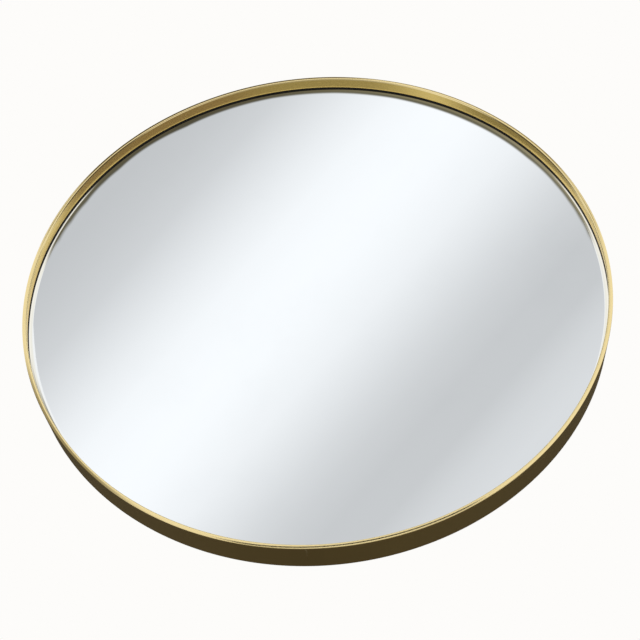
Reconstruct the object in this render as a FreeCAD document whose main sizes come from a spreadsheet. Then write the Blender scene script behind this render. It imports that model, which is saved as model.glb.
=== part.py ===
import FreeCAD
import Part
import Sketcher
import math
import os

# Round wall mirror with a deep, thin-lipped metal frame, hung by two ring hangers.
#
# Frame of the part: Z is up, the glass faces -Y and the wall is behind the mirror at y = 0.
# The origin is the centre of the wall plane, where the bumpers touch the wall.
# The round pieces are drawn in a half section: x is the radius and y the depth behind the front plane.

# Driving sizes in millimetres and degrees
SIZES = {
    # frame hoop
    "frame_diameter": 610.0,
    "frame_depth": 38.0,
    "wall": 1.3,
    "lip_width": 4.3,
    "lip_depth": 2.6,
    "lip_outer_round": 1.2,
    "lip_inner_round": 1.8,
    "rear_round": 0.7,
    "channel": 6.3,
    "stop_width": 0.6,
    "stop_thickness": 1.0,
    "flange_width": 8.0,
    "flange_thickness": 1.4,
    "seam_gap": 0.2,
    # black edge gasket
    "gasket_show": 0.9,
    "gasket_lip": 1.5,
    "gasket_side": 0.4,
    "gasket_clearance": 0.3,
    # glass, film and board
    "glass_thickness": 4.0,
    "glass_clearance": 0.3,
    "glass_seat_clearance": 0.1,
    "bevel_width": 5.2,
    "bevel_drop": 0.8,
    "film_thickness": 0.2,
    "film_inset": 2.0,
    "board_thickness": 7.5,
    "board_clearance": 0.7,
    "board_chamfer": 0.8,
    # splice that closes the hoop
    "splice_angle": 18.0,
    "splice_width": 6.0,
    "splice_thickness": 3.0,
    "splice_clearance": 0.3,
    "splice_screw_angle": 4.2,
    "splice_screw_head": 5.2,
    "splice_screw_head_height": 1.4,
    "splice_screw_shank": 3.0,
    "splice_screw_short": 0.2,
    "splice_screw_tip": 0.5,
    # bowed springs between the board and the rear flange
    "spring_length": 34.0,
    "spring_width": 6.4,
    "spring_thickness": 0.5,
    "spring_clearance": 0.05,
    "spring_first_angle": 22.5,
    # ring hangers
    "hanger_inset": 105.0,
    "hanger_height": 120.0,
    "strap_width": 10.0,
    "strap_length": 36.0,
    "strap_thickness": 1.2,
    "strap_end_round": 4.6,
    "strap_upper_hole": 9.5,
    "strap_lower_hole": 28.0,
    "wire_diameter": 2.5,
    "eye_clearance": 0.3,
    "ring_inner_width": 23.0,
    "ring_corner": 3.4,
    "ring_side": 4.5,
    # wood screws of the hangers
    "hanger_screw_head": 6.6,
    "hanger_screw_head_height": 2.0,
    "hanger_screw_shank": 3.4,
    "hanger_screw_cover": 1.6,
    "hanger_screw_tip": 2.2,
    # both kinds of screw
    "hole_clearance": 0.15,
    "pilot_clearance": 0.05,
    "recess_span": 3.0,
    "recess_blade": 0.8,
    "recess_sink": 0.9,
    # wall bumpers
    "bumper_diameter": 7.0,
    "bumper_height": 2.0,
    "bumper_chamfer": 0.8,
    "bumper_angle": 45.0,
    # overrun of every cut past the face that it starts from
    "overrun": 1.0,
}
SPRING_COUNT = 8
SPLICE_SCREW_COUNT = 4
BUMPER_COUNT = 4
FULL_TURN = 360.0
# the seam and the splice lie at the lowest point of the hoop
BOTTOM_ANGLE = -90.0
# the sketcher numbers the points of an edge by their places in this list
EDGE_POINTS = ("edge", "start", "end", "centre")
START, END, CENTRE = (EDGE_POINTS.index(name) for name in ("start", "end", "centre"))
# two coordinates this near are the same
SAME = 1e-6

doc = FreeCAD.newDocument("RoundMirror")
sheet = doc.addObject("Spreadsheet::Sheet", "Sizes")
for row, (alias, size) in enumerate(SIZES.items(), start=1):
    sheet.set(f"A{row}", alias.replace("_", " "))
    sheet.set(f"B{row}", str(size))
    sheet.setAlias(f"B{row}", alias)
doc.recompute()

# Radii of the half section, as expressions of the sheet
R_OUT = "Sizes.frame_diameter / 2"
R_WALL = f"({R_OUT} - Sizes.wall)"
R_LIP = f"({R_OUT} - Sizes.lip_width)"
R_STOP = f"({R_WALL} - Sizes.stop_width)"
R_FLANGE = f"({R_WALL} - Sizes.flange_width)"
R_GASKET = f"({R_WALL} - Sizes.gasket_clearance)"
R_GASKET_IN = f"({R_GASKET} - Sizes.gasket_side)"
R_SHOW = f"({R_STOP} - Sizes.gasket_show)"
R_GLASS = f"({R_GASKET_IN} - Sizes.glass_clearance)"
R_FLAT = f"({R_GLASS} - Sizes.bevel_width)"
R_FILM = f"({R_GLASS} - Sizes.film_inset)"
R_BOARD = f"({R_WALL} - Sizes.board_clearance)"
R_SPLICE = f"({R_WALL} - Sizes.splice_clearance)"
R_SPLICE_IN = f"({R_SPLICE} - Sizes.splice_width)"
R_SPLICE_SCREW = f"({R_SPLICE} - Sizes.splice_width / 2)"
R_MID_FLANGE = f"({R_FLANGE} + Sizes.flange_width / 2)"

# Depths behind the front plane, counted forward from the rear flange
D_REAR = "Sizes.frame_depth"
D_FLANGE = f"({D_REAR} - Sizes.flange_thickness)"
D_BOARD_BACK = f"({D_FLANGE} - Sizes.channel)"
D_BOARD = f"({D_BOARD_BACK} - Sizes.board_thickness)"
D_GLASS_BACK = f"({D_BOARD} - Sizes.film_thickness)"
D_GLASS = f"({D_GLASS_BACK} - Sizes.glass_thickness)"
D_STOP_BACK = f"({D_GLASS} - Sizes.gasket_lip)"
D_STOP = f"({D_STOP_BACK} - Sizes.stop_thickness)"

# Places along Y
FRONT_Y = "-(Sizes.frame_depth + Sizes.bumper_height)"
BOARD_BACK_Y = f"({FRONT_Y} + {D_BOARD_BACK})"
FLANGE_BACK_Y = "-Sizes.bumper_height"

# Lengths of the screws under their heads
SPLICE_SCREW_LENGTH = "(Sizes.flange_thickness + Sizes.splice_thickness - Sizes.splice_screw_short)"
HANGER_SCREW_LENGTH = "(Sizes.strap_thickness + Sizes.board_thickness - Sizes.hanger_screw_cover)"

# Rolled eye of a strap
EYE_HOLE = "(Sizes.wire_diameter / 2 + Sizes.eye_clearance)"
EYE_OUT = f"({EYE_HOLE} + Sizes.strap_thickness)"
EYE_Y = f"({BOARD_BACK_Y} + {EYE_OUT})"

# Middle line of a hanger ring: half width, half of its bar, and drop to the bow's centre
RING_HALF = "((Sizes.ring_inner_width + Sizes.wire_diameter) / 2)"
RING_BAR = f"({RING_HALF} - Sizes.ring_corner)"
RING_BOW = "(Sizes.ring_corner + Sizes.ring_side)"


def measure(expression):
    """Value of an expression of the sheet."""
    return float(sheet.evalExpression(expression))


def bevel_depth(radius):
    """Depth of the glass's bevel at a radius, as an expression."""
    return f"({D_GLASS} + Sizes.bevel_drop * ({radius} - {R_FLAT}) / Sizes.bevel_width)"


def new_body(label, place=("0", FRONT_Y, "0"), turn=0.0):
    """A body with a label, turned about Y and placed by expressions of the sheet."""
    body = doc.addObject("PartDesign::Body", label)
    body.Label = label
    axis = FreeCAD.Vector(0, 1, 0)
    spot = FreeCAD.Vector(*[measure(expression) for expression in place])
    body.Placement = FreeCAD.Placement(spot, FreeCAD.Rotation(axis, turn))
    for name, expression in zip("xyz", place):
        body.setExpression(f"Placement.Base.{name}", expression)
    return body


def own_axis(body, role):
    """An axis or a plane of the body's own origin."""
    return next(item for item in body.Origin.OriginFeatures if item.Role == role)


def features(body):
    """Solid features of the body so far, without its sketches."""
    return [item for item in body.Group if item.isDerivedFrom("PartDesign::Feature")]


def new_sketch(body, name, plane, offset=None):
    """A sketch on one of the body's own origin planes, with an offset of its own if it needs one."""
    sketch = body.newObject("Sketcher::SketchObject", name)
    sketch.AttachmentSupport = [(own_axis(body, plane), "")]
    sketch.MapMode = "FlatFace"
    for axis, expression in (offset or {}).items():
        sketch.setExpression(f"AttachmentOffset.Base.{axis}", expression)
    return sketch


def tie(sketch, kind, geometry, point, expression):
    """Holds one coordinate of a sketch point at an expression of the sheet.

    The sketcher's own horizontal axis is geometry -1, which starts at the origin, and its vertical axis is -2.
    """
    value = measure(expression)
    if abs(value) < SAME:
        axis = -2 if kind == "DistanceX" else -1
        sketch.addConstraint(Sketcher.Constraint("PointOnObject", geometry, point, axis))
        return
    limit = Sketcher.Constraint(kind, -1, START, geometry, point, value)
    number = sketch.addConstraint(limit)
    sketch.setExpression(f"Constraints[{number}]", expression)


def outline(sketch, corners):
    """Closed outline through corners (x, y, bend).

    bend is None before a straight edge. Before an arc it is (centre x, centre y, turn), and turn is
    1 for an arc that runs anticlockwise to the next corner and -1 for a clockwise one.
    """
    normal = FreeCAD.Vector(0, 0, 1)
    spots = [FreeCAD.Vector(measure(x), measure(y), 0) for x, y, _ in corners]
    ends = []
    for index, (_, _, bend) in enumerate(corners):
        first = spots[index]
        last = spots[(index + 1) % len(spots)]
        if bend is None:
            number = sketch.addGeometry(Part.LineSegment(first, last))
            ends.append((number, START, END))
            continue
        centre = FreeCAD.Vector(measure(bend[0]), measure(bend[1]), 0)
        round_edge = Part.Circle(centre, normal, centre.distanceToPoint(first))
        low, high = (first, last) if bend[2] > 0 else (last, first)
        from_angle = math.atan2(low.y - centre.y, low.x - centre.x)
        to_angle = math.atan2(high.y - centre.y, high.x - centre.x)
        if to_angle <= from_angle:
            to_angle += 2 * math.pi
        number = sketch.addGeometry(Part.ArcOfCircle(round_edge, from_angle, to_angle))
        ends.append((number, START, END) if bend[2] > 0 else (number, END, START))
    for index, (number, _, last) in enumerate(ends):
        following, first, _ = ends[(index + 1) % len(ends)]
        sketch.addConstraint(Sketcher.Constraint("Coincident", number, last, following, first))
    for (number, first, _), (x, y, bend) in zip(ends, corners):
        tie(sketch, "DistanceX", number, first, x)
        tie(sketch, "DistanceY", number, first, y)
        if bend is not None:
            tie(sketch, "DistanceY", number, CENTRE, bend[1])


def ring_hole(sketch, x, y, radius):
    """Circle whose centre and radius are tied to the sheet."""
    centre = FreeCAD.Vector(measure(x), measure(y), 0)
    size = measure(radius)
    number = sketch.addGeometry(Part.Circle(centre, FreeCAD.Vector(0, 0, 1), size))
    tie(sketch, "DistanceX", number, CENTRE, x)
    tie(sketch, "DistanceY", number, CENTRE, y)
    limit = sketch.addConstraint(Sketcher.Constraint("Radius", number, size))
    sketch.setExpression(f"Constraints[{limit}]", radius)


def revolve(body, name, corners, angle=None, offset=None):
    """Turns a half section about Y, all the way round or through a middle angle of the sheet."""
    sketch = new_sketch(body, f"{name}Section", "XY_Plane", offset)
    outline(sketch, corners)
    feature = body.newObject("PartDesign::Revolution", name)
    feature.Profile = sketch
    feature.ReferenceAxis = (sketch, ["V_Axis"])
    feature.Angle = FULL_TURN
    if angle is not None:
        feature.Midplane = True
        feature.setExpression("Angle", angle)
    doc.recompute()
    return feature


def pad(body, name, sketch, length):
    """Pads a sketch to both sides of its plane."""
    feature = body.newObject("PartDesign::Pad", name)
    feature.Profile = sketch
    feature.Midplane = True
    feature.setExpression("Length", length)
    doc.recompute()
    return feature


def pocket(body, name, sketch, length, reverse=False, both=False):
    """Cuts a sketch into the body, and stops if it takes nothing away."""
    before = body.Shape.Volume
    feature = body.newObject("PartDesign::Pocket", name)
    feature.Profile = sketch
    feature.Reversed = reverse
    feature.Midplane = both
    feature.setExpression("Length", length)
    doc.recompute()
    if not body.Shape.Volume < before:
        raise RuntimeError(f"{body.Label}: {name} cuts nothing")
    return feature


def polar(radius, angle):
    """Place on a circle about Y, as expressions for X and Z."""
    return f"{radius} * cos({angle} deg)", f"{radius} * sin({angle} deg)"


def screw_angles():
    """Angles of the splice screws from the seam, evenly stepped and centred on it."""
    middle = (SPLICE_SCREW_COUNT - 1) / 2
    return [(index - middle) * measure("Sizes.splice_screw_angle") for index in range(SPLICE_SCREW_COUNT)]


def frame_ring():
    """Hoop of rolled section: rounded front lip, thin wall, glass stop and rear flange, closed by a seam."""
    body = new_body("frame_ring")
    outer = "Sizes.lip_outer_round"
    inner = "Sizes.lip_inner_round"
    rear = "Sizes.rear_round"
    lip_back = "Sizes.lip_depth"
    revolve(body, "Hoop", [
        (R_OUT, outer, (f"{R_OUT} - {outer}", outer, -1)),
        (f"{R_OUT} - {outer}", "0", None),
        (f"{R_LIP} + {inner}", "0", (f"{R_LIP} + {inner}", inner, -1)),
        (R_LIP, inner, None),
        (R_LIP, lip_back, None),
        (R_WALL, lip_back, None),
        (R_WALL, D_STOP, None),
        (R_STOP, D_STOP, None),
        (R_STOP, D_STOP_BACK, None),
        (R_WALL, D_STOP_BACK, None),
        (R_WALL, D_FLANGE, None),
        (R_FLANGE, D_FLANGE, None),
        (R_FLANGE, D_REAR, None),
        (f"{R_OUT} - {rear}", D_REAR, (f"{R_OUT} - {rear}", f"{D_REAR} - {rear}", -1)),
        (R_OUT, f"{D_REAR} - {rear}", None),
    ])
    seam = new_sketch(body, "SeamCut", "XZ_Plane")
    outline(seam, [
        ("-Sizes.seam_gap / 2", f"-({R_OUT} + Sizes.overrun)", None),
        ("Sizes.seam_gap / 2", f"-({R_OUT} + Sizes.overrun)", None),
        ("Sizes.seam_gap / 2", f"-({R_FLANGE} - Sizes.overrun)", None),
        ("-Sizes.seam_gap / 2", f"-({R_FLANGE} - Sizes.overrun)", None),
    ])
    pocket(body, "Seam", seam, f"{D_REAR} + Sizes.overrun")
    holes = new_sketch(body, "SpliceHoleCut", "XZ_Plane", {"z": f"-({D_REAR} + Sizes.overrun)"})
    for angle in screw_angles():
        x, z = polar(R_SPLICE_SCREW, BOTTOM_ANGLE + angle)
        ring_hole(holes, x, z, "Sizes.splice_screw_shank / 2 + Sizes.hole_clearance")
    pocket(body, "SpliceHoles", holes, "Sizes.flange_thickness + 2 * Sizes.overrun", reverse=True)
    return body


def edge_gasket():
    """Black strip round the glass: a thin margin in front of the bevel and a skirt round the edge."""
    body = new_body("edge_gasket")
    revolve(body, "Strip", [
        (R_SHOW, D_STOP_BACK, None),
        (R_GASKET, D_STOP_BACK, None),
        (R_GASKET, D_GLASS_BACK, None),
        (R_GASKET_IN, D_GLASS_BACK, None),
        (R_GASKET_IN, f"{bevel_depth(R_GASKET_IN)} - Sizes.glass_seat_clearance", None),
        (R_SHOW, f"{bevel_depth(R_SHOW)} - Sizes.glass_seat_clearance", None),
    ])
    return body


def mirror_glass():
    """Round silvered glass with a narrow bevel along its edge."""
    body = new_body("mirror_glass")
    revolve(body, "Glass", [
        ("0", D_GLASS, None),
        (R_FLAT, D_GLASS, None),
        (R_GLASS, f"{D_GLASS} + Sizes.bevel_drop", None),
        (R_GLASS, D_GLASS_BACK, None),
        ("0", D_GLASS_BACK, None),
    ])
    return body


def safety_film():
    """Film on the back of the glass that holds the pieces together if it breaks."""
    body = new_body("safety_film")
    revolve(body, "Film", [
        ("0", D_GLASS_BACK, None),
        (R_FILM, D_GLASS_BACK, None),
        (R_FILM, D_BOARD, None),
        ("0", D_BOARD, None),
    ])
    return body


def hanger_x(side):
    """Place of a hanger across the mirror; side is -1 on the left and 1 on the right."""
    return f"{side} * ({R_OUT} - Sizes.hanger_inset)"


def hanger_screw_places(side):
    """Places of a hanger's two screws in X and Z."""
    holes = ("Sizes.strap_upper_hole", "Sizes.strap_lower_hole")
    return [(hanger_x(side), f"Sizes.hanger_height - {hole}") for hole in holes]


def backing_board():
    """Board that carries the glass and takes the hanger screws, with its rear edge chamfered."""
    body = new_body("backing_board")
    chamfer = "Sizes.board_chamfer"
    revolve(body, "Board", [
        ("0", D_BOARD, None),
        (R_BOARD, D_BOARD, None),
        (R_BOARD, f"{D_BOARD_BACK} - {chamfer}", None),
        (f"{R_BOARD} - {chamfer}", D_BOARD_BACK, None),
        ("0", D_BOARD_BACK, None),
    ])
    holes = new_sketch(body, "PilotHoleCut", "XZ_Plane", {"z": f"-({D_BOARD_BACK} + Sizes.overrun)"})
    for side in (-1, 1):
        for x, z in hanger_screw_places(side):
            ring_hole(holes, x, z, "Sizes.hanger_screw_shank / 2 + Sizes.pilot_clearance")
    reach = f"{HANGER_SCREW_LENGTH} - Sizes.strap_thickness + Sizes.pilot_clearance"
    pocket(body, "PilotHoles", holes, f"{reach} + Sizes.overrun", reverse=True)
    return body


def splice_plate():
    """Curved plate under the rear flange that closes the hoop at its seam."""
    body = new_body("splice_plate", turn=-BOTTOM_ANGLE)
    revolve(body, "Plate", [
        (R_SPLICE_IN, f"{D_FLANGE} - Sizes.splice_thickness", None),
        (R_SPLICE, f"{D_FLANGE} - Sizes.splice_thickness", None),
        (R_SPLICE, D_FLANGE, None),
        (R_SPLICE_IN, D_FLANGE, None),
    ], angle="Sizes.splice_angle")
    holes = new_sketch(body, "TappedHoleCut", "XZ_Plane", {"z": f"-({D_FLANGE} + Sizes.overrun)"})
    for angle in screw_angles():
        x, z = polar(R_SPLICE_SCREW, angle)
        ring_hole(holes, x, z, "Sizes.splice_screw_shank / 2 + Sizes.pilot_clearance")
    pocket(body, "TappedHoles", holes, "Sizes.splice_thickness + 2 * Sizes.overrun", reverse=True)
    return body


def screw(body, kind, length, offset):
    """One pan-head screw along Y, its head towards the wall and its underside at y = 0."""
    head = f"Sizes.{kind}_head / 2"
    height = f"Sizes.{kind}_head_height"
    shank = f"Sizes.{kind}_shank / 2"
    tip = f"Sizes.{kind}_tip"
    rim = f"{height} / 3"
    crown = f"({head}) * ({head}) / (2 * ({height} - {rim})) - ({height} - {rim}) / 2"
    revolve(body, "Screw", [
        ("0", f"-{length}", None),
        (f"{shank} / 2", f"-{length}", None),
        (shank, f"-{length} + {tip}", None),
        (shank, "0", None),
        (head, "0", None),
        (head, rim, ("0", f"{rim} - ({crown})", 1)),
        ("0", height, None),
    ], offset=offset)
    sunk = {"z": f"-({height} + Sizes.overrun)"}
    if offset:
        sunk["x"] = offset["x"]
    cross = new_sketch(body, "CrossCut", "XZ_Plane", sunk)
    arm = "Sizes.recess_span / 2"
    blade = "Sizes.recess_blade / 2"
    outline(cross, [
        (arm, f"-{blade}", None),
        (arm, blade, None),
        (blade, blade, None),
        (blade, arm, None),
        (f"-{blade}", arm, None),
        (f"-{blade}", blade, None),
        (f"-{arm}", blade, None),
        (f"-{arm}", f"-{blade}", None),
        (f"-{blade}", f"-{blade}", None),
        (f"-{blade}", f"-{arm}", None),
        (blade, f"-{arm}", None),
        (blade, f"-{blade}", None),
    ])
    pocket(body, "Cross", cross, "Sizes.recess_sink + Sizes.overrun", reverse=True)


def splice_screws():
    """Short machine screws through the rear flange, in a row along the splice plate."""
    span = (SPLICE_SCREW_COUNT - 1) * measure("Sizes.splice_screw_angle")
    body = new_body("splice_screws", ("0", FLANGE_BACK_Y, "0"), turn=-BOTTOM_ANGLE + span / 2)
    screw(body, "splice_screw", SPLICE_SCREW_LENGTH, {"x": R_SPLICE_SCREW})
    originals = features(body)
    pattern = body.newObject("PartDesign::PolarPattern", "ScrewRow")
    pattern.Originals = originals
    pattern.Axis = (own_axis(body, "Y_Axis"), [""])
    pattern.Occurrences = SPLICE_SCREW_COUNT
    pattern.Mode = "Spacing"
    pattern.setExpression("Offset", "Sizes.splice_screw_angle")
    pattern.Reversed = True
    body.Tip = pattern
    doc.recompute()
    return body


def hanger_screws():
    """Wood screws of both hangers, one solid each."""
    place = (hanger_x(-1), f"{BOARD_BACK_Y} + Sizes.strap_thickness",
             "Sizes.hanger_height - Sizes.strap_upper_hole")
    body = new_body("hanger_screws", place)
    screw(body, "hanger_screw", HANGER_SCREW_LENGTH, None)
    originals = features(body)
    steps = (
        ("Across", "X_Axis", f"2 * {hanger_x(1)}", False),
        ("Down", "Z_Axis", "Sizes.strap_lower_hole - Sizes.strap_upper_hole", True),
    )
    patterns = []
    for name, role, length, reverse in steps:
        pattern = body.newObject("PartDesign::LinearPattern", name)
        pattern.Direction = (own_axis(body, role), [""])
        pattern.Reversed = reverse
        pattern.Occurrences = 2
        pattern.setExpression("Length", length)
        patterns.append(pattern)
    grid = body.newObject("PartDesign::MultiTransform", "ScrewGrid")
    grid.Originals = originals
    grid.Transformations = patterns
    body.Tip = grid
    doc.recompute()
    return body


def spring_clip(index):
    """Bowed leaf spring: its ends press on the board and its crown on the rear flange."""
    angle = measure("Sizes.spring_first_angle") + index * FULL_TURN / SPRING_COUNT
    x, z = polar(R_MID_FLANGE, angle)
    body = new_body(f"spring_clip_{index + 1}", (x, BOARD_BACK_Y, z), turn=-BOTTOM_ANGLE - angle)
    reach = f"({D_FLANGE} - {D_BOARD_BACK} - Sizes.spring_clearance)"
    rise = f"({reach} - Sizes.spring_thickness)"
    half = "(Sizes.spring_length / 2)"
    radius = f"(({half} * {half} + {rise} * {rise}) / (2 * {rise}))"
    centre = f"({rise} - {radius})"
    outer = f"({radius} + Sizes.spring_thickness)"
    foot = f"sqrt({outer} * {outer} - {centre} * {centre})"
    section = new_sketch(body, "BowSection", "XY_Plane")
    outline(section, [
        (half, "0", ("0", centre, 1)),
        (f"-{half}", "0", None),
        (f"-{foot}", "0", ("0", centre, -1)),
        (foot, "0", None),
    ])
    pad(body, "Bow", section, "Sizes.spring_width")
    return body


def strap(side, label):
    """Hanger strap: a screwed plate with a rolled eye at its top."""
    place = (hanger_x(side), BOARD_BACK_Y, "Sizes.hanger_height")
    body = new_body(label, place)
    thick = "Sizes.strap_thickness"
    low = "-Sizes.strap_length"
    meet = f"-sqrt({EYE_OUT} * {EYE_OUT} - {EYE_HOLE} * {EYE_HOLE})"
    section = new_sketch(body, "StrapSection", "YZ_Plane")
    outline(section, [
        ("0", low, None),
        (thick, low, None),
        (thick, meet, (EYE_OUT, "0", 1)),
        ("0", "0", None),
    ])
    ring_hole(section, EYE_OUT, "0", EYE_HOLE)
    pad(body, "Strap", section, "Sizes.strap_width")
    holes = new_sketch(body, "StrapHoleCut", "XZ_Plane", {"z": f"-({thick} + Sizes.overrun)"})
    for hole in ("Sizes.strap_upper_hole", "Sizes.strap_lower_hole"):
        ring_hole(holes, "0", f"-{hole}", "Sizes.hanger_screw_shank / 2 + Sizes.hole_clearance")
    cut = pocket(body, "StrapHoles", holes, f"{thick} + 2 * Sizes.overrun", reverse=True)
    corners = []
    for number, edge in enumerate(cut.Shape.Edges, start=1):
        ends = [vertex.Point for vertex in edge.Vertexes]
        low_end = all(abs(point.z - measure(low)) < SAME for point in ends)
        if len(ends) == 2 and low_end and abs(ends[0].x - ends[1].x) < SAME:
            corners.append(f"Edge{number}")
    end = body.newObject("PartDesign::Fillet", "StrapEnd")
    end.Base = (cut, corners)
    end.setExpression("Radius", "Sizes.strap_end_round")
    doc.recompute()
    return body


def hanger_ring(side, label):
    """Wire ring: a straight bar through the eye, two rounded corners and a half-round bow."""
    place = (hanger_x(side), EYE_Y, "Sizes.hanger_height")
    body = new_body(label, place)
    corner = "Sizes.ring_corner"
    path = new_sketch(body, "RingPath", "XZ_Plane")
    outline(path, [
        (f"-{RING_BAR}", "0", None),
        (RING_BAR, "0", (RING_BAR, f"-{corner}", -1)),
        (RING_HALF, f"-{corner}", None),
        (RING_HALF, f"-{RING_BOW}", ("0", f"-{RING_BOW}", -1)),
        (f"-{RING_HALF}", f"-{RING_BOW}", None),
        (f"-{RING_HALF}", f"-{corner}", (f"-{RING_BAR}", f"-{corner}", -1)),
    ])
    section = new_sketch(body, "WireSection", "YZ_Plane")
    ring_hole(section, "0", "0", "Sizes.wire_diameter / 2")
    pipe = body.newObject("PartDesign::AdditivePipe", "Wire")
    pipe.Profile = section
    pipe.Spine = (path, [])
    doc.recompute()
    return body


def bumper(index):
    """Soft button on the rear flange that keeps the metal off the wall."""
    angle = measure("Sizes.bumper_angle") + index * FULL_TURN / BUMPER_COUNT
    x, z = polar(R_MID_FLANGE, angle)
    body = new_body(f"bumper_{index + 1}", (x, FLANGE_BACK_Y, z))
    radius = "Sizes.bumper_diameter / 2"
    height = "Sizes.bumper_height"
    edge = "Sizes.bumper_chamfer"
    revolve(body, "Button", [
        ("0", "0", None),
        (radius, "0", None),
        (radius, f"{height} - {edge}", None),
        (f"{radius} - {edge}", height, None),
        ("0", height, None),
    ])
    return body


def build():
    """All the pieces, from the front to the wall."""
    bodies = [frame_ring(), edge_gasket(), mirror_glass(), safety_film(), backing_board()]
    bodies += [splice_plate(), splice_screws()]
    bodies += [spring_clip(index) for index in range(SPRING_COUNT)]
    for side, name in ((-1, "left"), (1, "right")):
        bodies += [strap(side, f"strap_{name}"), hanger_ring(side, f"hanger_ring_{name}")]
    bodies.append(hanger_screws())
    bodies += [bumper(index) for index in range(BUMPER_COUNT)]
    return bodies


def check(bodies):
    """Stops the build if any object failed or any piece has no sound shape."""
    for item in doc.Objects:
        if any(word in item.State for word in ("Invalid", "Error")):
            raise RuntimeError(f"{item.Label} failed: {item.State}")
    for body in bodies:
        if body.Shape.isNull() or not body.Shape.isValid():
            raise RuntimeError(f"{body.Label} has no sound shape")


pieces = build()
doc.recompute()
check(pieces)
os.makedirs("parts", exist_ok=True)
for piece in pieces:
    piece.Shape.exportStep(os.path.join("parts", f"{piece.Label}.step"))
    print(piece.Label, "solids", len(piece.Shape.Solids), "volume", round(piece.Shape.Volume, 1))
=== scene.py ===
import logging
import math
from dataclasses import dataclass
from enum import Enum
from typing import Iterable, Mapping, Optional, Sequence, Union

import bmesh
import bpy
from mathutils import Matrix, Vector


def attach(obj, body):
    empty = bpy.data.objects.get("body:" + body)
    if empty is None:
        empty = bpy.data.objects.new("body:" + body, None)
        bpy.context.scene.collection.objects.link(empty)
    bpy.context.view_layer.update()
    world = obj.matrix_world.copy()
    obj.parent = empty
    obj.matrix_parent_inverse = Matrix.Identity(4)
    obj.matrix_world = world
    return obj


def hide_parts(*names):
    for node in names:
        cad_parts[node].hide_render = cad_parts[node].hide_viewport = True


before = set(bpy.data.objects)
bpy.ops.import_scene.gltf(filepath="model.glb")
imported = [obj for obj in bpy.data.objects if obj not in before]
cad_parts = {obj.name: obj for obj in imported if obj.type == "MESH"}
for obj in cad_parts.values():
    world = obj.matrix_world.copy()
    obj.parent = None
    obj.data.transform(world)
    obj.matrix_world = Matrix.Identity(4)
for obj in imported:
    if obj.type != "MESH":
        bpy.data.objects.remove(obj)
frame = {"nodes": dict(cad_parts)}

# A round wall mirror in a deep satin gold hoop, dressed and lit as in its photograph.
# Lengths are metres. Z is up, the glass faces -Y and the wall is at y = 0.
LOG = logging.getLogger("round_mirror")
ORIGIN = Vector((0.0, 0.0, 0.0))
X_AXIS = Vector((1.0, 0.0, 0.0))
Y_AXIS = Vector((0.0, 1.0, 0.0))
Z_AXIS = Vector((0.0, 0.0, 1.0))
QUARTER_TURN = math.pi / 2.0
FULL_TURN = 2.0 * math.pi
# vertices this near are one
SAME = 1e-7
PAPER_WHITE = (0.983, 0.973, 0.956)

Node = bpy.types.Node
Socket = bpy.types.NodeSocket
Tree = bpy.types.NodeTree
Material = bpy.types.Material
Object = bpy.types.Object
Corner = tuple[float, float, float]
Colour = tuple[float, float, float]
Span = tuple[float, float]


class Body(Enum):
    """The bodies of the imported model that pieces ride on."""

    MIRROR = "mirror"
    RING_LEFT = "ring_left"
    RING_RIGHT = "ring_right"


class Slot(Enum):
    """The record's material slots."""

    FRAME = "frame_metal"
    GASKET = "gasket"
    GLASS = "mirror"
    BOARD = "board"
    ZINC = "zinc_steel"
    SPRING = "spring_steel"
    BUMPER = "bumper"


class Way(Enum):
    """Which way a pattern runs over a piece."""

    ROUND_THE_HOOP = "round the hoop"
    STRAIGHT = "straight"


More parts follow.
